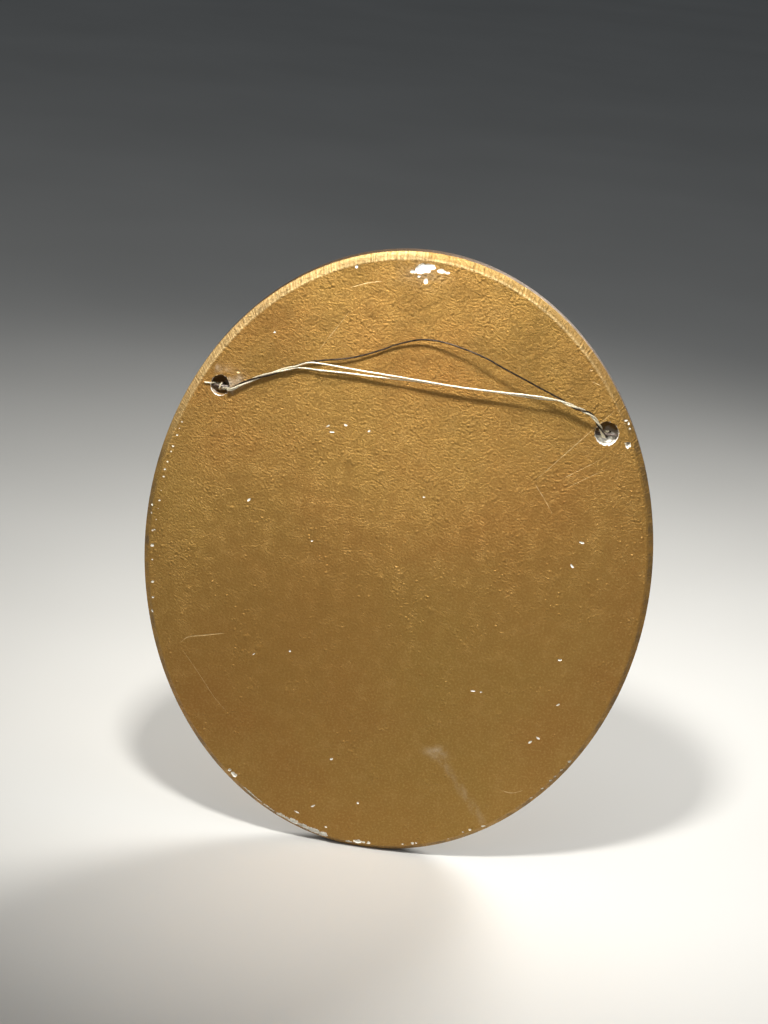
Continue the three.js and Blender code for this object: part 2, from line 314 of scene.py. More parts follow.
# %% Rings of the casting
HALF_WIDTH = 127.0
HALF_HEIGHT = 159.0
BEVEL_WIDTH = 3.0
BEVEL_DEPTH = 2.6
BURR = 0.22
SIDE_DEPTH = 7.0
EDGE_ROUND = 9.0
EDGE_DEPTH = 18.0
FIELD_DEPTH = 14.0
FIELD_BED = 12.5
BEAD = (11.0, 19.0)
BEAD_DEPTH = 20.4
GROOVE_DEPTH = 17.0
COVE_DEPTH = 16.0
COVE_INSET = 23.0
FIELD_INSET = 26.0
ROUND_COUNT = 320
BACK_RING = 2.0
START_INSET = 121.0


def quarter(from_point, to_point, corner, steps):
    """Inset and depth of points on a quarter of a circle or an oval."""
    points = []
    for step in range(steps + 1):
        angle = math.pi / 2 * step / steps
        start, end = math.cos(angle), math.sin(angle)
        points.append(tuple(
            corner[axis] + (from_point[axis] - corner[axis]) * start
            + (to_point[axis] - corner[axis]) * end
            for axis in (0, 1)
        ))
    return points


rings = []
inset = START_INSET - BACK_RING
while inset > BEVEL_WIDTH + BACK_RING / 2:
    rings.append((inset, 0.0))
    inset -= BACK_RING
rings += [(BEVEL_WIDTH + 1.1, 0.0), (BEVEL_WIDTH + 0.5, -BURR), (BEVEL_WIDTH + 0.1, -BURR / 2)]
rings += [(BEVEL_WIDTH * (1 - part), BEVEL_DEPTH * part) for part in (0.25, 0.5, 0.75, 0.93)]
rings += [(0.05, BEVEL_DEPTH), (0.0, 3.0), (0.0, 4.4), (0.0, 5.8)]
rings += quarter((0, SIDE_DEPTH), (EDGE_ROUND, EDGE_DEPTH), (EDGE_ROUND, SIDE_DEPTH), 10)
rings += [(9.8, EDGE_DEPTH), (10.3, EDGE_DEPTH - 0.2), (10.7, EDGE_DEPTH - 0.8)]
for step in range(13):
    angle = math.pi * step / 12
    middle, reach = (BEAD[0] + BEAD[1]) / 2, (BEAD[1] - BEAD[0]) / 2
    rise = (BEAD_DEPTH - GROOVE_DEPTH) * math.sin(angle)
    rings.append((middle - reach * math.cos(angle), GROOVE_DEPTH + rise))
rings += [(19.3, 16.5), (BEAD[1] + 0.6, COVE_DEPTH), (21.0, 14.8), (COVE_INSET, FIELD_DEPTH)]
rings += [(FIELD_INSET, FIELD_BED)]
print(len(rings), "rings from the middle of the back to the field on the front")


# %% Extrude the casting ring by ring
def open_disc(name, count, half_width, half_height, place, fill="NGON"):
    """A flat upright oval, measured in millimetres and left open in edit mode."""
    bpy.ops.object.select_all(action="DESELECT")
    bpy.ops.mesh.primitive_circle_add(
        vertices=count, radius=1, fill_type=fill, rotation=(math.pi / 2, 0, 0))
    disc = bpy.context.object
    disc.name = name
    disc.scale = (half_width * MM, half_height * MM, 1)
    disc.location = [distance * MM for distance in place]
    bpy.ops.object.transform_apply()
    bpy.ops.object.mode_set(mode="EDIT")
    bpy.ops.mesh.select_all(action="SELECT")
    return disc


def close_edit():
    """Points all faces outward and leaves edit mode."""
    bpy.ops.mesh.select_all(action="SELECT")
    bpy.ops.mesh.normals_make_consistent(inside=False)
    bpy.ops.object.mode_set(mode="OBJECT")


casting = open_disc(
    "casting", ROUND_COUNT, HALF_WIDTH - START_INSET, HALF_HEIGHT - START_INSET, (0, 0, 0))
before = (START_INSET, 0.0)
for inset, depth in rings:
    bpy.ops.mesh.extrude_region_move(
        TRANSFORM_OT_translate={"value": (0, (before[1] - depth) * MM, 0)})
    across = (HALF_WIDTH - inset) / (HALF_WIDTH - before[0])
    upright = (HALF_HEIGHT - inset) / (HALF_HEIGHT - before[0])
    bpy.ops.transform.resize(value=(across, 1, upright))
    before = (inset, depth)
close_edit()

# %% [markdown]
# A poured back is never quite flat. Two cloud textures push its points in and out by a
# fraction of a millimetre: a wide one for the trowel and a narrow one for the skin of the paint.

# %% An uneven back
back_points = casting.vertex_groups.new(name="back")
for vertex in casting.data.vertices:
    from_back = min(1.0, max(0.0, 1 + vertex.co.y / (BEVEL_DEPTH * MM)))
    if from_back > 0:
        back_points.add([vertex.index], from_back, "REPLACE")
for name, size, height in (("trowel", 28, 0.34), ("skin", 5, 0.10)):
    clouds = bpy.data.textures.new(name, "CLOUDS")
    clouds.noise_scale = size * MM
    clouds.noise_depth = 2
    push = casting.modifiers.new(name, "DISPLACE")
    push.texture = clouds
    push.texture_coords = "LOCAL"
    push.direction = "Y"
    push.mid_level = 0.5
    push.strength = height * MM
    push.vertex_group = "back"
    bpy.context.view_layer.objects.active = casting
    bpy.ops.object.modifier_apply(modifier=name)
heights = [v.co.y / MM for v in casting.data.vertices if v.co.y > -0.5 * MM]
print("back lies between", round(min(heights), 2), "and", round(max(heights), 2), "mm")

# %% [markdown]
# ## The relief on the front
#
# The front can't be seen in the photograph, so it carries a plain traditional spray: three wild
# roses, leaves, buds and stalks. A petal starts as a flat oval that is pinched at the heart,
# extruded off the field and then inset in steps that go down again, which leaves a cupped
# hollow with a rolled edge. One petal is modelled for each rose and copied round its heart.

# %% Helpers for raised pieces
def pick(thing, wanted):
    """In edit mode, selects the points for which wanted(place) holds, with faces between them."""
    mesh = bmesh.from_edit_mesh(thing.data)
    for point in mesh.verts:
        point.select = wanted(point.co / MM)
    mesh.select_mode = {"VERT"}
    mesh.select_flush_mode()
    bmesh.update_edit_mesh(thing.data)


def oval_blank(name, width, length, count=28):
    """A flat oval on the field that points up from the origin, open in edit mode."""
    return open_disc(name, count, width / 2, length / 2, (0, SINK - FIELD_DEPTH, length / 2))


def raise_and_inset(steps):
    """Extrudes the selected face off the field, step by step: rise in mm and new size."""
    for rise, size in steps:
        bpy.ops.mesh.extrude_region_move(TRANSFORM_OT_translate={"value": (0, -rise * MM, 0)})
        bpy.ops.transform.resize(value=(size, 1, size))


def finish_blank(blank, levels=2):
    """Closes edit mode, points the faces outward and rounds the piece off."""
    close_edit()
    smooth = blank.modifiers.new("round", "SUBSURF")
    smooth.levels = smooth.render_levels = levels
    only(blank)
    bpy.ops.object.modifier_apply(modifier="round")
    return blank


def set_down(piece, x, z, degrees):
    """Turns a piece that points up to a direction on the field and moves it to its place."""
    only(piece)
    piece.rotation_euler = (0, math.radians(90 - degrees), 0)
    piece.location = (x * MM, 0, z * MM)
    bpy.ops.object.transform_apply()
    return piece


def copy_of(piece, name):
    """A copy with its own mesh."""
    twin = piece.copy()
    twin.data = piece.data.copy()
    twin.name = name
    bpy.context.scene.collection.objects.link(twin)
    return twin


SINK = 2.0
relief = []

# %% Roses
ROSES = [(6, 34, 48, 100), (-44, -34, 38, 68), (42, -48, 34, 22)]
PETALS = 5
PETAL_WIDTH = 1.2
PETAL_LEAN = math.radians(7)


def petal_blank(radius):
    """One petal that points up: narrow at the heart, notched at the tip and cupped."""
    width = radius * PETAL_WIDTH
    blank = oval_blank("petal", width, radius)
    pick(blank, lambda at: at.z < radius * 0.45)
    bpy.ops.transform.resize(value=(0.72, 1, 1), center_override=(0, 0, 0))
    pick(blank, lambda at: at.z > radius * 0.9 and abs(at.x) < width * 0.09)
    bpy.ops.transform.translate(value=(0, 0, -radius * 0.085 * MM))
    bpy.ops.mesh.select_all(action="SELECT")
    raise_and_inset([
        (SINK + 4.6, 1.0), (0.8, 0.97), (-0.25, 0.93), (-0.9, 0.82), (-0.9, 0.72), (-0.4, 0.5),
    ])
    finish_blank(blank)
    only(blank)
    blank.rotation_euler = (0, 0, PETAL_LEAN)
    bpy.ops.object.transform_apply()
    return blank


for x, z, radius, turn in ROSES:
    first = petal_blank(radius)
    for count in range(PETALS):
        petal = first if count == PETALS - 1 else copy_of(first, "petal")
        relief.append(set_down(petal, x, z, turn + 360 / PETALS * count))
print(len(relief), "petals on", len(ROSES), "roses")

# %% [markdown]
# The heart of a rose is a low dome with a ring of stamen heads. Both start as spheres that are
# squashed, and one stamen is copied round the dome.

# %% Hearts
STAMENS = 14


def ball(name, place, size, segments=16):
    """A sphere squashed to a size, at a place, both in millimetres."""
    bpy.ops.object.select_all(action="DESELECT")
    bpy.ops.mesh.primitive_uv_sphere_add(segments=segments, ring_count=segments // 2, radius=MM)
    sphere = bpy.context.object
    sphere.name = name
    sphere.scale = size
    sphere.location = Vector(place) * MM
    bpy.ops.object.transform_apply()
    return sphere


for x, z, radius, turn in ROSES:
    dome = radius * 0.12
    relief.append(ball("heart", (x, -FIELD_DEPTH - 4.2, z), (dome, 2.6, dome), 24))
    for count in range(STAMENS):
        angle = 2 * math.pi * count / STAMENS
        reach = radius * (0.19 if count % 2 else 0.165)
        spot = (x + reach * math.cos(angle), -FIELD_DEPTH - 5.0, z + reach * math.sin(angle))
        relief.append(ball("stamen", spot, (1.25, 1.5, 1.25), 10))
print(len(relief), "raised pieces with the hearts")

# %% [markdown]
# A leaf is an oval with both ends drawn out to points. After it is raised, the points along
# its middle are pushed back down for the vein, which splits it into two soft ridges.

# %% Leaves, buds and stalks
LEAVES = [
    (-12, 62, 122, 58, 27), (26, 64, 58, 52, 25), (42, 28, 8, 52, 24), (-30, 26, 160, 57, 25),
    (-66, -22, 145, 36, 18), (-58, -52, 254, 44, 21), (-14, -52, 258, 56, 23),
    (16, -70, 286, 48, 21), (58, -64, 279, 37, 19), (62, -34, 24, 38, 19),
]
BUDS = [(66, 78, 50, 24, 14), (-64, 69, 128, 24, 14)]
STALKS = [
    [(4, -6), (7, -48), (6, -84), (2, -118)], [(-34, -60), (-20, -84), (-8, -102), (0, -114)],
    [(34, -70), (24, -90), (12, -104), (5, -114)], [(34, 54), (50, 60), (60, 70)],
    [(-26, 50), (-46, 54), (-59, 62)],
]
STALK_WIDTH = 4.4
STALK_LIFT = 0.9
STALK_STEP = 2.0


def leaf_blank(length, width):
    """One leaf that points up, with a vein down its middle."""
    blank = oval_blank("leaf", width * 0.94, length * 0.86, 32)
    pick(blank, lambda at: at.z > length * 0.80)
    bpy.ops.transform.resize(value=(0.45, 1, 1), center_override=(0, 0, 0))
    bpy.ops.transform.translate(value=(0, 0, length * 0.12 * MM))
    pick(blank, lambda at: at.z < length * 0.05)
    bpy.ops.transform.resize(value=(0.6, 1, 1), center_override=(0, 0, 0))
    bpy.ops.mesh.select_all(action="SELECT")
    raise_and_inset([(SINK + 1.0, 1.0), (1.0, 0.93), (1.0, 0.78), (0.5, 0.66), (0.0, 0.6)])
    bpy.ops.mesh.poke()
    pick(blank, lambda at: abs(at.x) < width * 0.035 and at.y < -FIELD_DEPTH - 0.5)
    bpy.ops.transform.translate(value=(0, 1.7 * MM, 0))
    return finish_blank(blank)


def bud_piece(length, width):
    """A bud that points up: a sphere with its tip drawn out."""
    bud = ball("bud", (0, -FIELD_DEPTH, length * 0.17), (width / 2, 6, length / 2), 20)
    bpy.ops.object.mode_set(mode="EDIT")
    pick(bud, lambda at: at.z > length * 0.45)
    bpy.ops.transform.resize(value=(0.72, 0.85, 1))
    bpy.ops.transform.translate(value=(0, 0, length * 0.06 * MM))
    return finish_blank(bud, 1)


def stalk_piece(route):
    """A round bar along a smooth curve, half sunk in the field."""
    path = even_points([(x, -FIELD_DEPTH - STALK_LIFT, z) for x, z in route], STALK_STEP)
    stalk = new_curve("stalk", [place * MM for place in path])
    stalk.data.bevel_depth = STALK_WIDTH / 2 * MM
    return as_mesh(stalk)


for x, z, turn, length, width in LEAVES:
    relief.append(set_down(leaf_blank(length, width), x, z, turn))
for x, z, turn, length, width in BUDS:
    relief.append(set_down(bud_piece(length, width), x, z, turn))
relief += [stalk_piece(route) for route in STALKS]
print(len(relief), "raised pieces in all")

# %% [markdown]
# Plaster has no seams between a petal and the field. All the raised pieces and a thin slab for
# the field are joined and remeshed into one skin, smoothed a little, thinned, and then united
# with the casting. Remeshing everything would cost the crisp moulding of the rim.

# %% One skin for the relief
RELIEF_VOXEL = 0.75
RELIEF_SHARE = 0.2
RELIEF_ROUNDS = 6


def joined(pieces):
    """Joins pieces into the first of them."""
    only(pieces[0])
    for piece in pieces:
        piece.select_set(True)
    bpy.ops.object.join()
    return pieces[0]


def one_skin(thing, voxel, share, rounds=0):
    """Remeshes a thing into one skin, smooths it for some rounds and thins it to a share."""
    skin = thing.modifiers.new("skin", "REMESH")
    skin.mode = "VOXEL"
    skin.voxel_size = voxel * MM
    if rounds:
        soften = thing.modifiers.new("soften", "SMOOTH")
        soften.factor = 0.5
        soften.iterations = rounds
    thin = thing.modifiers.new("thin", "DECIMATE")
    thin.ratio = share
    for name in [modifier.name for modifier in thing.modifiers]:
        bpy.ops.object.modifier_apply(modifier=name)


slab_inset = (COVE_INSET + BEAD[1]) / 2
bpy.ops.object.select_all(action="DESELECT")
bpy.ops.mesh.primitive_cylinder_add(
    vertices=ROUND_COUNT, radius=1, depth=FIELD_DEPTH / 2 * MM, rotation=(math.pi / 2, 0, 0))
slab = bpy.context.object
slab.name = "relief"
slab.scale = ((HALF_WIDTH - slab_inset) * MM, (HALF_HEIGHT - slab_inset) * MM, 1)
slab.location = (0, -FIELD_DEPTH * 0.75 * MM, 0)
bpy.ops.object.transform_apply()
slab = joined([slab, *relief])
one_skin(slab, RELIEF_VOXEL, RELIEF_SHARE, RELIEF_ROUNDS)
print("relief skin:", len(slab.data.polygons), "faces")


# %% Unite the relief with the casting
def combine(body, tool, operation):
    """Joins a tool to a body or cuts it away, and removes the tool."""
    only(body)
    cut = body.modifiers.new("combine", "BOOLEAN")
    cut.object = tool
    cut.operation = operation
    cut.solver = "MANIFOLD"
    cut.material_mode = "TRANSFER"
    bpy.context.view_layer.update()
    bpy.ops.object.modifier_apply(modifier="combine")
    bpy.data.objects.remove(tool)


combine(casting, slab, "UNION")
print("casting with relief:", len(casting.data.polygons), "faces")

# %% [markdown]
# ## Finishes
#
# The whole casting was painted with bronze powder in varnish: a satin metal that shows brush
# and orange peel, redder where it is thick and olive where it is thin. It could be one flat
# metal colour, but then the broad back would look like card. Here clouds of noise on the
# object's own coordinates shift the colour, a finer noise lifts the skin, and masks stored on
# the points of the mesh bring in brown patina, plaster dust and stains, a painted highlight on
# the lit part of the bevel and painted shade on the rest of it.

# %% Helpers for finishes
def feed(socket, value):
    """Links a socket to another one, or sets it to a number or a colour."""
    if isinstance(value, bpy.types.NodeSocket):
        socket.id_data.links.new(value, socket)
    else:
        socket.default_value = value


def new_finish(name):
    """A new material, its shader and its object coordinates."""
    material = bpy.data.materials.new(name)
    material.use_nodes = True
    nodes = material.node_tree.nodes
    return material, nodes["Principled BSDF"], nodes.new("ShaderNodeTexCoord").outputs["Object"]


def node(near, kind):
    """A new node in the tree that a socket belongs to."""
    return near.id_data.nodes.new("ShaderNode" + kind)


def speckle(place, scale, detail=3.0, roughness=0.5):
    """Noise with about this many features in a metre."""
    texture = node(place, "TexNoise")
    feed(texture.inputs["Vector"], place)
    feed(texture.inputs["Scale"], scale)
    feed(texture.inputs["Detail"], detail)
    feed(texture.inputs["Roughness"], roughness)
    return texture.outputs[0]


def cells(place, scale):
    """How far each place is from the middle of its cell, with about this many in a metre."""
    texture = node(place, "TexVoronoi")
    feed(texture.inputs["Vector"], place)
    feed(texture.inputs["Scale"], scale)
    return texture.outputs["Distance"]


def remap(value, low, high, to_low=0.0, to_high=1.0):
    """Stretches a value from one range to another and stops at its ends."""
    stretch = node(value, "MapRange")
    for socket, number in zip(stretch.inputs[:5], (value, low, high, to_low, to_high)):
        feed(socket, number)
    return stretch.outputs[0]


def sums(operation, first, second):
    """One step of arithmetic."""
    step = node(first, "Math")
    step.operation = operation
    feed(step.inputs[0], first)
    feed(step.inputs[1], second)
    return step.outputs[0]


def tint(amount, first, second):
    """Blends two colours."""
    mix = node(amount, "Mix")
    mix.data_type = "RGBA"
    feed(mix.inputs[0], amount)
    feed(mix.inputs[6], first)
    feed(mix.inputs[7], second)
    return mix.outputs[2]


def ramp(value, stops):
    """Colours along a value, as (position, colour) pairs."""
    band = node(value, "ValToRGB")
    for index, (position, colour) in enumerate(stops):
        if index > 1:
            band.color_ramp.elements.new(position)
        band.color_ramp.elements[index].position = position
        band.color_ramp.elements[index].color = colour
    feed(band.inputs[0], value)
    return band.outputs[0]


def stored(near, name):
    """A mask kept on the points of the mesh."""
    mask = node(near, "Attribute")
    mask.attribute_name = name
    return mask.outputs["Fac"]


def raised(height, strength, distance, under=None):
    """A bump of a height in metres, on top of another bump where one is given."""
    bump = node(height, "Bump")
    feed(bump.inputs["Strength"], strength)
    feed(bump.inputs["Distance"], distance)
    feed(bump.inputs["Height"], height)
    if under is not None:
        feed(bump.inputs["Normal"], under)
    return bump.outputs[0]


# %% Bronze paint
BRONZE = (0.37, 0.210, 0.052, 1)
RED_BRONZE = (0.355, 0.180, 0.043, 1)
OLIVE_BRONZE = (0.355, 0.210, 0.050, 1)
PALE_BRONZE = (0.50, 0.310, 0.100, 1)
PAINTED_EDGE_HIGHLIGHT = (0.78, 0.57, 0.27, 1)
BROWN_PAINT_AND_SHADE = (0.075, 0.042, 0.018, 1)
PLASTER_DUST = (0.62, 0.54, 0.42, 1)

bronze_paint, shader, place = new_finish("bronze_paint")
clouds = speckle(place, 14, 3)
mottle = speckle(place, 130, 5, 0.6)
colour = ramp(clouds, [(0.32, RED_BRONZE), (0.50, BRONZE), (0.68, OLIVE_BRONZE)])
colour = tint(remap(mottle, 0.52, 0.80, 0.0, 0.45), colour, PALE_BRONZE)
colour = tint(remap(mottle, 0.46, 0.26, 0.0, 0.40), colour, RED_BRONZE)
flakes = speckle(place, 850, 2, 0.6)
colour = tint(remap(flakes, 0.50, 0.70, 0.0, 0.5), colour, PALE_BRONZE)
colour = tint(stored(place, "stain"), colour, RED_BRONZE)
apart = node(place, "SeparateXYZ")
feed(apart.inputs[0], place)
angle = sums("ARCTAN2", apart.outputs["Z"], apart.outputs["X"])
scrape = node(place, "TexNoise")
scrape.noise_dimensions = "1D"
feed(scrape.inputs["W"], angle)
feed(scrape.inputs["Scale"], 150)
streaks = remap(scrape.outputs[0], 0.35, 0.65, 0.35, 1.0)
# Painted highlight: the lit upper and left part of the bevel and the burr are painted pale gold,
# streaked by the scraper marks.
pale_mark = sums("MULTIPLY", stored(place, "edge"), streaks)
colour = tint(pale_mark, colour, PAINTED_EDGE_HIGHLIGHT)
# Brown: the paint on the side and the antiquing in the hollows of the front, and painted shade on
# the unlit lower and right part of the bevel.
ragged = sums("ADD", stored(place, "patina_and_shade"), remap(mottle, 0.3, 0.7, -0.22, 0.22))
patina_and_shade = remap(ragged, 0.30, 0.72)
colour = tint(patina_and_shade, colour, BROWN_PAINT_AND_SHADE)
dust = sums("MULTIPLY", stored(place, "dust"), remap(mottle, 0.36, 0.60))
colour = tint(dust, colour, PLASTER_DUST)
feed(shader.inputs["Base Color"], colour)
covered = sums("MAXIMUM", dust, sums("MULTIPLY", patina_and_shade, 0.7))
covered = sums("MAXIMUM", covered, sums("MULTIPLY", pale_mark, 0.6))
feed(shader.inputs["Metallic"], remap(covered, 0, 1, 0.78, 0.05))
polish = remap(flakes, 0.3, 0.7, 0.66, 0.46)
roughness = sums("ADD", polish, remap(dust, 0, 1, 0, 0.4))
feed(shader.inputs["Roughness"], roughness)
print("bronze paint has", len(place.id_data.nodes), "nodes before its bumps")

# %% [markdown]
# The skin of the paint has five kinds of bump: a fine grain, drawn out a little by the brush;
# pimples in clusters; wrinkles between the clusters, most of all near the top; lumps and bubbles
# here and there; and on the bevel the marks of the scraper that trimmed the casting, which run
# across the edge. The last are noise along the angle round the oval, so they turn with the edge.

# %% Skin of the paint
GRAIN_HEIGHT = 0.0026
PIMPLE_HEIGHT = 0.0008
WRINKLE_HEIGHT = 0.0017
LUMP_HEIGHT = 0.0008
SCRAPE_HEIGHT = 0.0004

brush = node(place, "Mapping")
brush.vector_type = "TEXTURE"
feed(brush.inputs["Vector"], place)
brush.inputs["Scale"].default_value = (1.3, 1, 0.9)
brush.inputs["Rotation"].default_value = (0, -0.44, 0)
peel = speckle(brush.outputs[0], 880, 3, 0.65)
pimple = remap(cells(place, 400), 0.38, 0.08)
patches = speckle(place, 48, 4, 0.6)
pimple = sums("MULTIPLY", pimple, remap(patches, 0.50, 0.60))
wrinkle = remap(speckle(brush.outputs[0], 520, 4, 0.68), 0.42, 0.75)
wrinkle = sums("MULTIPLY", wrinkle, remap(patches, 0.52, 0.42))
lump = remap(cells(place, 75), 0.16, 0.0)
lump = sums("MULTIPLY", lump, remap(clouds, 0.48, 0.56))
patchy = sums("MULTIPLY", stored(place, "peel"), remap(mottle, 0.36, 0.62, 0.6, 1.0))
normal = raised(peel, patchy, GRAIN_HEIGHT)
normal = raised(pimple, stored(place, "peel"), PIMPLE_HEIGHT, normal)
normal = raised(wrinkle, stored(place, "wrinkle"), WRINKLE_HEIGHT, normal)
normal = raised(lump, 0.6, LUMP_HEIGHT, normal)
normal = raised(scrape.outputs[0], stored(place, "bevel"), SCRAPE_HEIGHT, normal)
feed(shader.inputs["Normal"], normal)
print("bronze paint has", len(place.id_data.nodes), "nodes in all")

# %% [markdown]
# Where the paint is knocked off, the white plaster shows: matt, chalky and a little dirty.
# Inside the sockets it is browned by dirt and by painted shade.
# A scratch that only marks the paint shows paler, rougher bronze. Both are finishes of the
# tools that cut the marks, so that every cut surface brings its own finish with it.

# %% Bare plaster and scratched paint
DULL_PLASTER = (0.72, 0.66, 0.55, 1)
WHITE_PLASTER = (0.95, 0.93, 0.86, 1)
GRIME = (0.30, 0.20, 0.10, 1)
SOIL_AND_SHADE = (0.27, 0.155, 0.055, 1)
DARK_SCRATCH = (0.42, 0.25, 0.08, 1)
PALE_SCRATCH = (0.68, 0.50, 0.25, 1)

bare_plaster, shader, place = new_finish("bare_plaster")
crumb = speckle(place, 700, 4, 0.6)
grime = speckle(place, 160, 3)
colour = ramp(crumb, [(0.26, DULL_PLASTER), (0.52, WHITE_PLASTER)])
colour = tint(remap(grime, 0.56, 0.72, 0.0, 0.6), colour, GRIME)
# Brown of dirt and painted shade inside the sockets: all over the left one, on the upper wall of
# the right one, and in the upper part of the pit beside it.
soiled_and_shaded = sums("ADD", stored(place, "soil_and_shade"), remap(grime, 0.3, 0.7, -0.3, 0.3))
colour = tint(remap(soiled_and_shaded, 0.3, 0.8), colour, SOIL_AND_SHADE)
feed(shader.inputs["Base Color"], colour)
feed(shader.inputs["Roughness"], 0.9)
feed(shader.inputs["Normal"], raised(crumb, 0.6, 0.0005))

scratched_paint, shader, place = new_finish("scratched_paint")
pale_mark = speckle(place, 420, 3)
colour = ramp(pale_mark, [(0.34, DARK_SCRATCH), (0.66, PALE_SCRATCH)])
feed(shader.inputs["Base Color"], colour)
feed(shader.inputs["Metallic"], 0.35)
feed(shader.inputs["Roughness"], 0.5)
feed(shader.inputs["Normal"], raised(pale_mark, 0.4, 0.0003))

casting.data.materials.clear()
casting.data.materials.append(bronze_paint)
print("finishes so far:", [material.name for material in bpy.data.materials][-3:])

# %% [markdown]
# ## Sockets in the back
#
# Each socket is a hole with crumbling edges that was left round a bent steel wire. A plain
# cylinder would make a drilled hole. So a disc is extruded from the floor of the socket to
# above its mouth, its floor is turned a little so that the light finds its low end, its points
# are pushed about at random, and the result is cut from the back.

# %% Sockets
# Each socket: across, up, width, height, and the slope of its floor in degrees.
SOCKETS = {"left": (94.9, 81.5, 9.2, 10.6, 5), "right": (-94.7, 81.7, 11.6, 11.9, 19)}
SOCKET_DEPTH = 7.0
SOCKET_FLOOR_SHARE = 0.95
SOCKET_POINTS = 40
SOCKET_CRUMBLE = 0.24
SOCKET_STEPS = [
    (1.2, 1.02), (1.6, 1.01), (1.6, 1.01), (1.4, 1.01), (0.8, 1.0), (0.5, 1.03), (1.2, 1.1),
]


def socket_tool(name, x, z, width, height, tilt):
    """A crumbly plug from a floor that is deepest at its top to above the mouth of a socket."""
    plug = open_disc(
        name + "_socket", SOCKET_POINTS, width / 2 * SOCKET_FLOOR_SHARE,
        height / 2 * SOCKET_FLOOR_SHARE, (x, -SOCKET_DEPTH, z), "TRIFAN")
    raise_and_inset((-rise, size) for rise, size in SOCKET_STEPS)
    pick(plug, lambda at: at.y < 0.4 - SOCKET_DEPTH)
    slope = math.tan(math.radians(tilt))
    floor_middle = Vector((x, -SOCKET_DEPTH, z)) * MM
    bpy.ops.transform.rotate(
        value=-math.radians(tilt), orient_axis="X", center_override=floor_middle)
    bpy.ops.transform.translate(value=(0, slope * height / 2 * MM, 0))
    bpy.ops.mesh.select_all(action="SELECT")
    bpy.ops.transform.vertex_random(
        offset=SOCKET_CRUMBLE * MM, uniform=0.4, normal=0.6, seed=len(name))
    close_edit()
    plug.data.materials.append(bare_plaster)
    return plug


for name, measures in SOCKETS.items():
    combine(casting, socket_tool(name, *measures), "DIFFERENCE")
print("casting with sockets:", len(casting.data.polygons), "faces")

# %% [markdown]
# ## Chips and scratches
#
# The edge has been knocked, most of all at the top and along the lower left, and specks of
# plaster show all over. Each chip is a small ball, flattened and roughened, set on the skin
# of the casting where the photograph shows a white mark. All the balls are joined, remeshed
# into one shape and cut away together.

# %% Chips
CHIP_VOXEL = 0.13
CHIP_SHARE = 0.3
CHIP_GROWTH = 1.15
EDGE_GROWTH = 1.3
EDGE_LENGTH = 1.3
# Top and socket chips: across, up, width, height.
TOP_CHIPS = [
    (1.9, 151.6, 6.4, 4.4), (4.2, 150.6, 4.0, 3.4), (-0.9, 152.7, 4.6, 2.6), (6.9, 149.3, 3.2, 1.5),
    (4.0, 147.4, 1.5, 1.0), (0.7, 145.5, 1.9, 2.8), (-6.1, 151.2, 3.4, 2.2),
    (-9.2, 150.8, 2.2, 1.2), (34.3, 148.4, 1.2, 1.6),
]
SOCKET_CHIPS = [
    (93.4, 86.9, 1.0, 1.2), (92.0, 85.9, 1.0, 1.4), (91.0, 84.7, 1.1, 1.7), (90.3, 83.2, 1.4, 2.0),
    (89.9, 79.6, 1.6, 1.8), (91.2, 77.6, 2.0, 1.0), (-102.9, 89.2, 2.0, 0.8),
    (-105.0, 88.0, 1.0, 1.6), (-105.6, 85.5, 1.0, 1.0),
]
# Runs of chips along the edge: start, end, how many and their size.
EDGE_RUNS = [
    ((74.3, -126.0), (71.3, -128.8), 3, 1.7), ((65.5, -134.3), (56.5, -141.1), 16, 0.8),
    ((54.2, -143.0), (46.3, -148.6), 6, 1.2), ((45.9, -147.7), (21.9, -155.8), 18, 2.2),
    ((8.5, -157.3), (-2.0, -157.2), 7, 1.3), ((-20.8, -155.1), (-28.0, -153.4), 3, 1.0),
    ((-45.0, -147.0), (-61.6, -137.4), 4, 0.9), ((-84.6, -117.2), (-101.1, -94.0), 6, 1.0),
    ((125.7, 17.1), (121.6, -40.0), 8, 0.9), ((113.5, 62.0), (120.4, 36.0), 7, 0.55),
    ((120.4, 36.0), (123.4, 4.0), 7, 0.5),
]
SPECKS = [
    (42.7, 7.3), (75.9, 24.5), (66.5, -57.5), (48.3, -53.3), (-78.3, -85.7), (-82.0, -82.9),
    (-89.7, -63.3), (-46.3, -61.8), (-50.3, -61.8), (-87.5, -38.8), (70.5, 111.5), (40.4, 67.8),
    (38.1, 65.0), (31.7, 69.4), (20.1, 67.9), (-10.3, 37.7), (-90.2, 24.5), (-86.9, 11.8),
    (36.6, -142.9), (28.6, -138.2), (5.5, -133.0), (20.7, -149.3), (21.6, -110.1),
]
PITS = [(-105.4, 77.4, 3.2, 3.6, 2.2)]
EDGE_SHARE = 0.9875
dice = random.Random(4)
chips = []


def chip(x, z, across, upright, deep, spin=0.0):
    """A roughened, flattened ball, half sunk in the skin of the casting nearest to (x, z)."""
    _, spot, facing, _ = casting.closest_point_on_mesh(Vector((x, -0.8, z)) * MM)
    bpy.ops.object.select_all(action="DESELECT")
    bpy.ops.mesh.primitive_ico_sphere_add(subdivisions=3, radius=1)
    bit = bpy.context.object
    bit.name = "chip"
    bpy.ops.object.mode_set(mode="EDIT")
    bpy.ops.transform.vertex_random(offset=0.45, uniform=0, normal=1, seed=len(chips) + 1)
    bpy.ops.mesh.vertices_smooth(factor=0.6, repeat=1)
    bpy.ops.object.mode_set(mode="OBJECT")
    bit.scale = (across / 2 * MM, upright / 2 * MM, deep * MM)
    bit.rotation_mode = "QUATERNION"
    bit.rotation_quaternion = facing.to_track_quat("Z", "Y") @ Quaternion((0, 0, 1), spin)
    bit.location = spot
    bpy.ops.object.transform_apply()
    chips.append(bit)


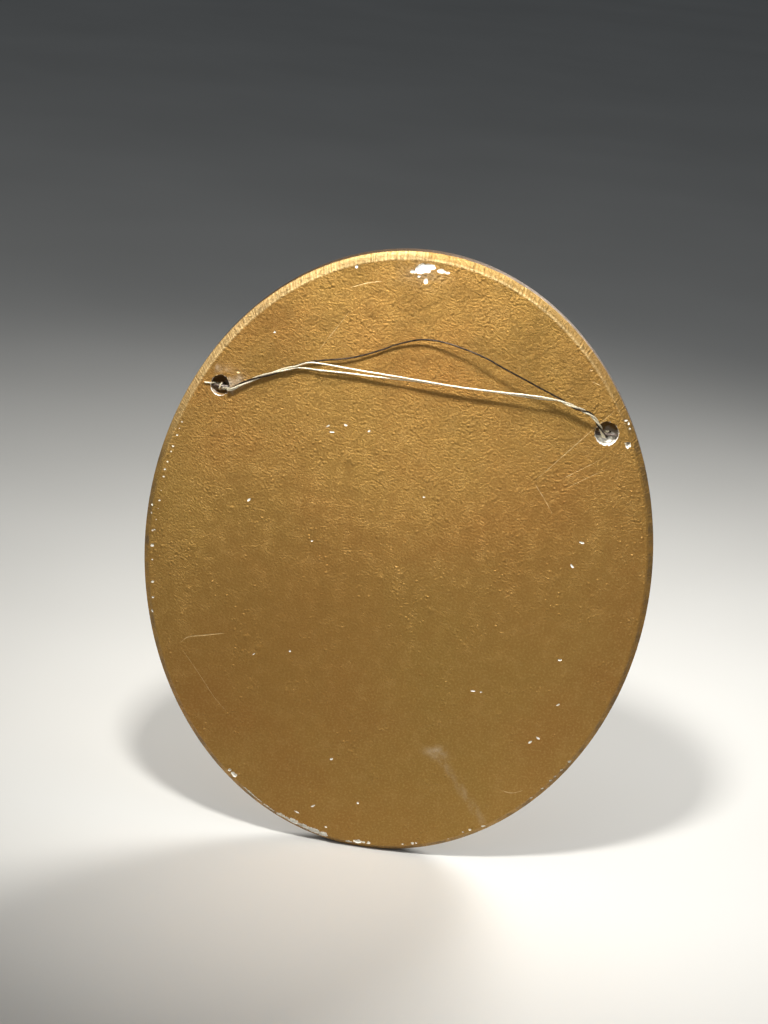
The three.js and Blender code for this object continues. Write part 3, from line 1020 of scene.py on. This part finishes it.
for x, z, across, upright in TOP_CHIPS + SOCKET_CHIPS:
    chip(x, z, across * CHIP_GROWTH, upright * CHIP_GROWTH, 0.3 + 0.1 * min(across, upright))
for x, z, across, upright, deep in PITS:
    chip(x, z, across, upright, deep)
for (x0, z0), (x1, z1), count, size in EDGE_RUNS:
    for step in range(count):
        along = (step + dice.uniform(-0.3, 0.3)) / max(count - 1, 1)
        grown = EDGE_GROWTH * size * dice.uniform(0.6, 1.4)
        x = (x0 + (x1 - x0) * along) * EDGE_SHARE
        z = (z0 + (z1 - z0) * along) * EDGE_SHARE
        chip(x, z, grown * EDGE_LENGTH, grown, 0.4 + 0.3 * grown)
for x, z in SPECKS:
    wide, tall = dice.uniform(1.2, 2.8), dice.uniform(0.7, 1.2)
    chip(x, z, wide, tall, 0.4, dice.uniform(-0.9, 0.9))
print(len(chips), "chips")

# %% Cut the chips
chip_tool = joined(chips)
one_skin(chip_tool, CHIP_VOXEL, CHIP_SHARE)
chip_tool.data.materials.clear()
chip_tool.data.materials.append(bare_plaster)
print("chip tool:", len(chip_tool.data.polygons), "faces")
combine(casting, chip_tool, "DIFFERENCE")
print("chipped casting:", len(casting.data.polygons), "faces")

# %% [markdown]
# A scratch is a fine groove. Each one is a curve laid on the skin, with a bevel of one to four
# tenths of a millimetre that thins out at its ends, made a mesh and cut away like the chips. The
# cut fails without a word if the tool has open edges, so the ends of the curves are welded first.

# %% Scratches
SCRATCH_STEP = 1.6
SCRATCH_LIFT = 0.35
SCRATCHES = [
    ([(104.7, -56.9), (100.9, -53.0), (92.3, -50.7), (82.2, -48.2)], 0.36),
    ([(102.9, -60.5), (93.1, -73.1), (84.4, -84.7), (75.4, -93.6)], 0.12),
    ([(-98.2, 95.2), (-82.3, 76.3), (-64.6, 54.9), (-61.5, 51.9)], 0.20),
    ([(-63.5, 51.7), (-69.4, 44.1), (-74.2, 37.0)], 0.22),
    ([(-75.3, 55.3), (-93.2, 68.0)], 0.16),
    ([(-78.7, 51.6), (-95.8, 63.2)], 0.14),
    ([(34.9, 127.0), (42.9, 114.1), (50.5, 102.0)], 0.18),
    ([(36.9, 137.6), (28.6, 141.1), (20.1, 143.2)], 0.20),
    ([(-66.4, -114.7), (-72.7, -115.5), (-79.1, -112.8)], 0.20),
    ([(-83.6, 106.8), (-89.1, 105.0)], 0.24),
]


def scratch(route, radius):
    """A thin spindle along a route on the skin of the back."""
    path = []
    for at in even_points([(x, 0, z) for x, z in route], SCRATCH_STEP):
        _, spot, facing, _ = casting.closest_point_on_mesh(at * MM)
        path.append(spot + facing * radius * SCRATCH_LIFT * MM)
    line = new_curve("scratch", path)
    line.data.bevel_depth = MM
    line.data.bevel_resolution = 1
    for index, point in enumerate(line.data.splines[0].points):
        ends = math.sin(math.pi * (index + 0.4) / (len(path) - 0.2))
        point.radius = radius * (0.35 + 0.65 * ends) * dice.uniform(0.75, 1.2)
    return as_mesh(line)


PAINTED_PITS = [(86.6, 89.5, 1.3), (82.7, 86.2, 0.8), (-83.1, 112.2, 0.8)]
scratches = [scratch(route, radius) for route, radius in SCRATCHES]
for x, z, size in PAINTED_PITS:
    scratches.append(ball("pit", (x, 0.1, z), (size, 0.8 * size, 0.8 * size)))
scratch_tool = joined(scratches)
bpy.ops.object.mode_set(mode="EDIT")
bpy.ops.mesh.select_all(action="SELECT")
bpy.ops.mesh.remove_doubles(threshold=0.01 * MM)
close_edit()
scratch_tool.data.materials.append(scratched_paint)
combine(casting, scratch_tool, "DIFFERENCE")
print("scratched casting:", len(casting.data.polygons), "faces")

# %% [markdown]
# ## Wear, patina, painted highlight and painted shade
#
# Some things have no edge at all: brown paint wiped over the side and into the hollows of the
# front, plaster dust round the sockets, patches where the skin is rougher, a painted highlight
# on the lit part of the bevel, painted shade on its unlit part, and painted shade with dirt
# inside the sockets and in a pit beside the right one. They could be painted by hand. Here each
# is a mask stored on the points: soft ovals and streaks on the back, and on the front a measure
# of how hollow the surface is, taken from each point's neighbours.

# %% Measure the casting's points
mesh = casting.data
count = len(mesh.vertices)
points = np.empty(count * 3)
mesh.vertices.foreach_get("co", points)
points = points.reshape(count, 3) / MM
facing = np.empty(count * 3)
mesh.vertex_normals.foreach_get("vector", facing)
facing = facing.reshape(count, 3)
edges = np.empty(len(mesh.edges) * 2, dtype=int)
mesh.edges.foreach_get("vertices", edges)
edges = edges.reshape(-1, 2)
depth = -points[:, 1]
print(count, "points, deepest at", round(depth.max(), 1), "mm")


# %% Masks
def neighbours_mean(values):
    """The mean of each point's neighbours."""
    total = np.zeros_like(values)
    share = np.zeros(count)
    for near, far in ((0, 1), (1, 0)):
        np.add.at(total, edges[:, near], values[edges[:, far]])
        np.add.at(share, edges[:, near], 1)
    return total / (share if values.ndim == 1 else share[:, None])


def soft_step(values, low, high):
    """Goes smoothly from 0 at low to 1 at high."""
    t = np.clip((values - low) / (high - low), 0, 1)
    return t * t * (3 - 2 * t)


def soft_oval(x, z, across, upright, amount):
    """Strongest in the middle of an oval on the back."""
    far = ((points[:, 0] - x) / across) ** 2 + ((points[:, 2] - z) / upright) ** 2
    return amount * np.exp(-far)


def soft_streak(start, end, width, amount):
    """Strongest along a line on the back."""
    start, end = np.array(start), np.array(end)
    flat = points[:, [0, 2]]
    along = np.clip((flat - start) @ (end - start) / ((end - start) @ (end - start)), 0, 1)
    gap = np.linalg.norm(flat - start - along[:, None] * (end - start), axis=1)
    return amount * np.exp(-((gap / width) ** 2))


def keep(name, values):
    """Stores a mask on the points of the casting."""
    mask = mesh.attributes.new(name, "FLOAT", "POINT")
    mask.data.foreach_set("value", np.clip(values, 0, 1).astype(np.float32))
    print(name, "covers", round(float(np.clip(values, 0, 1).mean()), 3), "of the points")


hollow = ((neighbours_mean(points) - points) * facing).sum(axis=1)
for _ in range(3):
    hollow = neighbours_mean(hollow)
side = soft_step(depth, 2.2, 3.6) * (1 - soft_step(depth, 9, 14))
front = soft_step(depth, 9, 13)
low_ground = 1 - soft_step(depth, 14.2, 17.5)

on_back = 1 - soft_step(depth, 0.5, 2.5)
keep("dust", on_back * (
    soft_oval(86.5, 85, 4, 3.4, 0.8) + soft_oval(92.5, 88.5, 3, 2.5, 0.5)
    + soft_oval(96.5, 89.2, 1.4, 1.2, 0.8) + soft_streak((91.3, 87), (88.9, 80), 0.9, 0.9)
    + soft_oval(-32, -98.5, 5, 2.6, 0.6) + soft_streak((-34, -102), (-60, -134), 1.5, 0.28)
    + soft_oval(2, 149, 9, 5, 0.3)))
across, height = points[:, 0], points[:, 2]
keep("peel", 0.4 + on_back * (
    0.3 * soft_step(height, -60, 110) + soft_oval(-50, 100, 50, 40, 0.25)
    + soft_oval(66, 100, 26, 26, 0.35) + soft_oval(108, 20, 14, 75, 0.25)
    + soft_oval(-10, 35, 40, 22, 0.12)))
keep("wrinkle", on_back * (
    0.75 * soft_step(height, 30, 120) + soft_oval(-50, 100, 45, 30, 0.3)
    + soft_oval(66, 95, 24, 24, 0.4) + soft_oval(110, 20, 12, 60, 0.3)))
keep("stain", on_back * (
    soft_oval(60, -60, 46, 50, 0.45) + soft_oval(20, -20, 40, 25, 0.3)
    + soft_oval(-70, 0, 30, 40, 0.25)))
rim = np.hypot(across / HALF_WIDTH, height / HALF_HEIGHT)
inset = (1 - rim**2) / (2 * (across**2 / HALF_WIDTH**3 + height**2 / HALF_HEIGHT**3) + 1e-9)
bevel = soft_step(depth, 0.05, 0.3) * (1 - soft_step(depth, 2.3, 2.9))
bevel *= inset < BEVEL_WIDTH + 0.5
keep("bevel", bevel)
# Painted highlight: the bevel and the burr are painted paler towards the top, most on the left,
# where the light falls.
burr = on_back * np.exp(-(((inset - BEVEL_WIDTH - 0.3) / 0.45) ** 2))
on_left = across > 0
lit = soft_step(height, np.where(on_left, 30, 75), np.where(on_left, 95, 130))
keep("edge", lit * np.maximum(np.where(on_left, 0.7, 0.25) * bevel, burr))
hollows = front * (0.08 + 0.16 * low_ground + soft_step(hollow, 0.015, 0.13))
# Brown paint on the side and antiquing in the front's hollows, plus painted shade on the bevel
# where the light doesn't fall.
keep("patina_and_shade", 0.95 * side + 0.42 * bevel * (1 - lit) + hollows)
in_left = np.hypot(across - SOCKETS["left"][0], height - SOCKETS["left"][1]) < 6.5
in_right = np.hypot(across - SOCKETS["right"][0], height - SOCKETS["right"][1]) < 7
sunk = soft_step(depth, 0.2, 0.9)
# Painted shade with dirt: the left socket, the upper wall of the right socket and the upper part of
# the pit beside it, where shade falls.
soil_and_shade = 0.8 * in_left + in_right * soft_step(height, 79.5, 83.5)
keep("soil_and_shade", sunk * (soil_and_shade + soft_oval(-105.2, 78.6, 1.8, 1.1, 1.0)))

# %% Shade and place the casting
only(casting)
bpy.ops.object.shade_smooth_by_angle(angle=math.radians(38))
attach(casting, "root")
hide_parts("plaque_casting")
triangles = sum(len(face.vertices) - 2 for face in mesh.polygons)
print("casting:", triangles, "triangles")

# %% [markdown]
# ## Steel wires in the sockets
#
# Across each socket runs a short steel wire whose ends are cast in. It is a thin cylinder cut
# into lengths by a few rings, bowed a little towards the wall and roughened, because it was
# bent by hand and has rusted since.

# %% Cross wires
CROSS_WIDTH = 1.6
CROSS_LENGTHS = {"left": 23.8, "right": 25.8}
CROSS_X = 94.7
CROSS_BOW = 0.5
CROSS_STEPS = 16
cross_wires = {}
for name, length in CROSS_LENGTHS.items():
    x = CROSS_X if name == "left" else -CROSS_X
    bpy.ops.object.select_all(action="DESELECT")
    bpy.ops.mesh.primitive_circle_add(
        vertices=14, radius=CROSS_WIDTH / 2 * MM, fill_type="NGON", rotation=(0, math.pi / 2, 0))
    wire = bpy.context.object
    wire.name = name + "_anchor_wire"
    wire.location = ((x - length / 2) * MM, CROSS_DEPTH * MM, CROSS_HEIGHT * MM)
    bpy.ops.object.transform_apply()
    bpy.ops.object.mode_set(mode="EDIT")
    bpy.ops.mesh.select_all(action="SELECT")
    lifts = [CROSS_BOW * math.sin(math.pi * step / CROSS_STEPS) for step in range(CROSS_STEPS + 1)]
    for before, after in zip(lifts, lifts[1:]):
        bpy.ops.mesh.extrude_region_move(TRANSFORM_OT_translate={
            "value": (length / CROSS_STEPS * MM, (after - before) * MM, 0)})
    bpy.ops.mesh.select_all(action="SELECT")
    bpy.ops.transform.vertex_random(offset=0.05 * MM, uniform=1, normal=0, seed=3)
    close_edit()
    bpy.ops.object.shade_smooth_by_angle(angle=math.radians(50))
    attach(wire, "root")
    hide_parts(name + "_cross_wire")
    cross_wires[name] = wire
print("cross wires:", [wire.name for wire in cross_wires.values()])

# %% [markdown]
# ## Metals of the wires
#
# The pale wires look like brass worn towards silver, the dark one is oxidised, and the
# steel in the sockets is rusty. All three are metals whose colour and polish change along
# them, with darker dirt where the noise runs low.

# %% Wire metals
METALS = {
    "worn_brass": ((0.60, 0.50, 0.32, 1), (0.94, 0.88, 0.69, 1), 900, (0.22, 0.40), 0.4),
    "oxidised_wire": ((0.018, 0.013, 0.010, 1), (0.075, 0.055, 0.040, 1), 600, (0.34, 0.55), 0.9),
    "rusty_steel": ((0.060, 0.034, 0.020, 1), (0.19, 0.165, 0.145, 1), 500, (0.42, 0.75), 0.9),
}


def wire_metal(name, low, high, scale, polish, purity):
    """A worn metal between two colours and two roughnesses, with more or less dull tarnish."""
    metal, shader, place = new_finish(name)
    wear = speckle(place, scale, 3)
    feed(shader.inputs["Base Color"], ramp(wear, [(0.32, low), (0.60, high)]))
    feed(shader.inputs["Metallic"], purity)
    feed(shader.inputs["Roughness"], remap(wear, 0.3, 0.7, polish[1], polish[0]))
    feed(shader.inputs["Normal"], raised(wear, 0.3, 0.0002))
    return metal


metals = {name: wire_metal(name, *look) for name, look in METALS.items()}
for name, wire in wires.items():
    wire.data.materials.append(metals["oxidised_wire" if name == "dark_wire" else "worn_brass"])
for wire in cross_wires.values():
    wire.data.materials.append(metals["rusty_steel"])
print("metals:", list(metals))

# %% [markdown]
# ## Floor and light
#
# The plaque stands on its edge on a pale floor. In the photograph the back is brightest at its
# top and the wires throw shadows downwards, so a small key lamp hangs close above the back. A
# narrow spread makes an area lamp much stronger along its axis: less than one watt is enough.
# A wide overhead panel and one panel on each side fill the shadows, and the floor mirrors some
# of their light into the lower half. The front lamp shows the relief, which only other views see.

# %% Floor
bpy.ops.object.select_all(action="DESELECT")
bpy.ops.mesh.primitive_plane_add(size=14, location=(0, 0, -HALF_HEIGHT * MM))
floor = bpy.context.object
floor.name = "floor"
floor_finish, shader, place = new_finish("floor_finish")
shade = speckle(place, 3, 2)
feed(shader.inputs["Base Color"], ramp(shade, [
    (0.3, (0.66, 0.66, 0.64, 1)), (0.7, (0.72, 0.72, 0.70, 1))]))
feed(shader.inputs["Roughness"], 0.6)
floor.data.materials.append(floor_finish)

# %% Lights
# Each lamp: name, place, size in metres, spread in degrees, watts, colour.
LAMPS = [
    ("key", (0.06, 0.31, 0.55), 0.07, 62, 0.82, (1.0, 0.97, 0.92)),
    ("overhead", (0, 0.9, 1.7), 1.5, 180, 5.0, (1.0, 0.98, 0.95)),
    ("left_panel", (1.25, 0.35, 0.6), 1.0, 180, 4.8, (1.0, 0.98, 0.94)),
    ("right_panel", (-1.25, 0.45, 0.8), 1.0, 180, 4.0, (0.96, 0.98, 1.0)),
    ("front", (-0.7, -1.2, 0.9), 0.7, 70, 5.0, (1.0, 0.97, 0.92)),
]
AIM = Vector((0, 0, 0.13))
for name, spot, size, spread, power, colour in LAMPS:
    lamp_data = bpy.data.lights.new(name, "AREA")
    lamp_data.size = size
    lamp_data.spread = math.radians(spread)
    lamp_data.energy = power
    lamp_data.color = colour
    lamp = bpy.data.objects.new(name, lamp_data)
    bpy.context.scene.collection.objects.link(lamp)
    lamp.location = spot
    lamp.rotation_mode = "QUATERNION"
    lamp.rotation_quaternion = (AIM - Vector(spot)).to_track_quat("-Z", "Y")
room = bpy.data.worlds.new("room")
bpy.context.scene.world = room
room.use_nodes = True
room.node_tree.nodes["Background"].inputs["Color"].default_value = (0.80, 0.86, 0.92, 1)
room.node_tree.nodes["Background"].inputs["Strength"].default_value = 0.08
bpy.context.scene.view_settings.view_transform = "Standard"
print("lamps:", [name for name, *_ in LAMPS])
